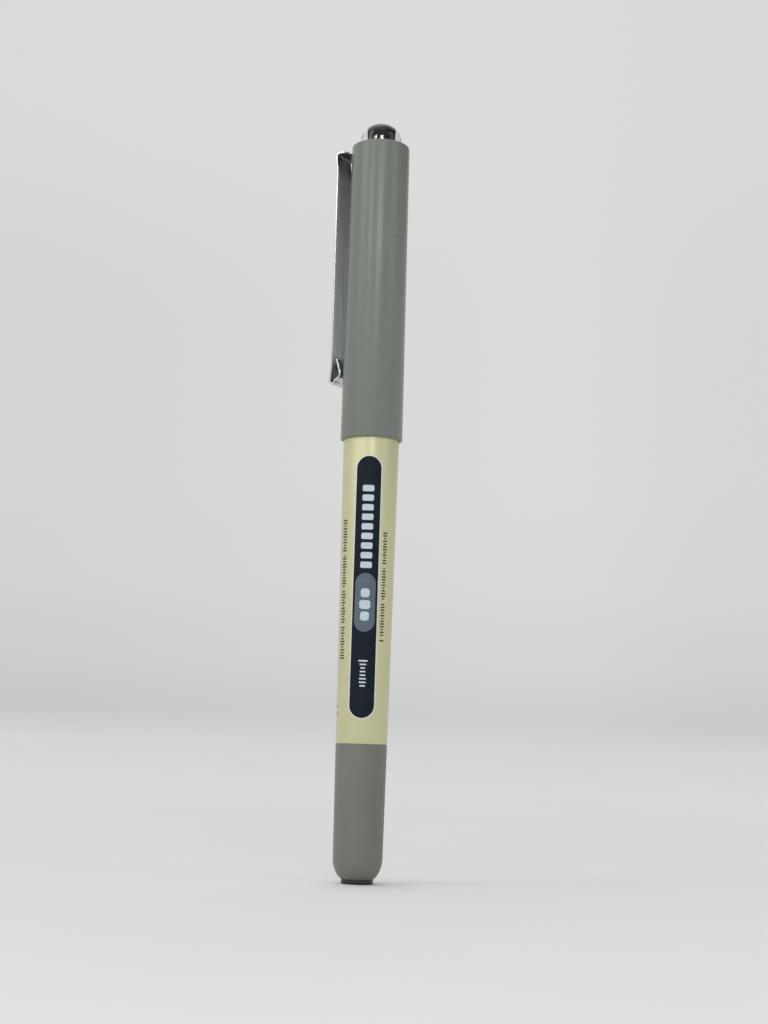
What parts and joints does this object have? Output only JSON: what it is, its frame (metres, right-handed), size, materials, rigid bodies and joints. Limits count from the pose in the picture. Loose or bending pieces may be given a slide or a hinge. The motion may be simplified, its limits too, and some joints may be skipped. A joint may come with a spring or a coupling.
{
  "type": "rollerball pen",
  "caption": "Capped rollerball pen that stands on its tail: ink barrel with metallic film and dark label, push-on cap with folded spring clip, clear crown, finned ink feed, rolling ball point.",
  "frame": {"origin": "centre of the tail plug's flat face, which the pen stands on", "axes": "+Z along the pen from the tail to the crown, -X towards the pocket clip"},
  "size_m": [0.0141, 0.0114, 0.1414],
  "materials": {
    "grey_plastic": "satin moulded grey",
    "champagne_film": "satin champagne metallic",
    "label": "smooth dark print",
    "black_plastic": "glossy black",
    "dark_plastic": "satin moulded",
    "ink": "liquid, wet",
    "fibre": "bonded fibre",
    "smoke_plastic": "clear smoke",
    "steel": "turned, bright",
    "natural_plastic": "natural, waxy",
    "clear_plastic": "clear, polished",
    "clip_steel": "polished spring strip"
  },
  "bodies": {
    "barrel": {"barrel_tube": "grey_plastic", "barrel_film": "champagne_film", "label_panel": "label", "tail_plug": "black_plastic", "ink_fill": "ink", "feed_wick": "fibre", "collector": "dark_plastic", "front_section": "smoke_plastic", "tip_holder": "dark_plastic", "steel_point": "steel", "tip_wick": "fibre"},
    "cap": {"cap_tube": "grey_plastic", "inner_cap": "natural_plastic", "crown_dome": "clear_plastic", "crown_insert": "black_plastic"},
    "clip": {"pocket_clip": "clip_steel"},
    "ball": {"writing_ball": "steel"}
  },
  "joints": [
    {"name": "cap_slide", "type": "slide", "parent": "barrel", "child": "cap", "axis": [0, 0, 1], "range_m": [0, 0.06]},
    {"name": "clip_flex", "type": "hinge", "parent": "cap", "child": "clip", "pos_m": [-0.0046, 0, 0.13616], "axis": [0, 1, 0], "range_deg": [0, 4], "stiffness_Nm_per_rad": 1.5},
    {"name": "ball_roll", "type": "hinge", "parent": "barrel", "child": "ball", "pos_m": [0, 0, 0.12765], "axis": [1, 0, 0], "continuous": true}
  ]
}
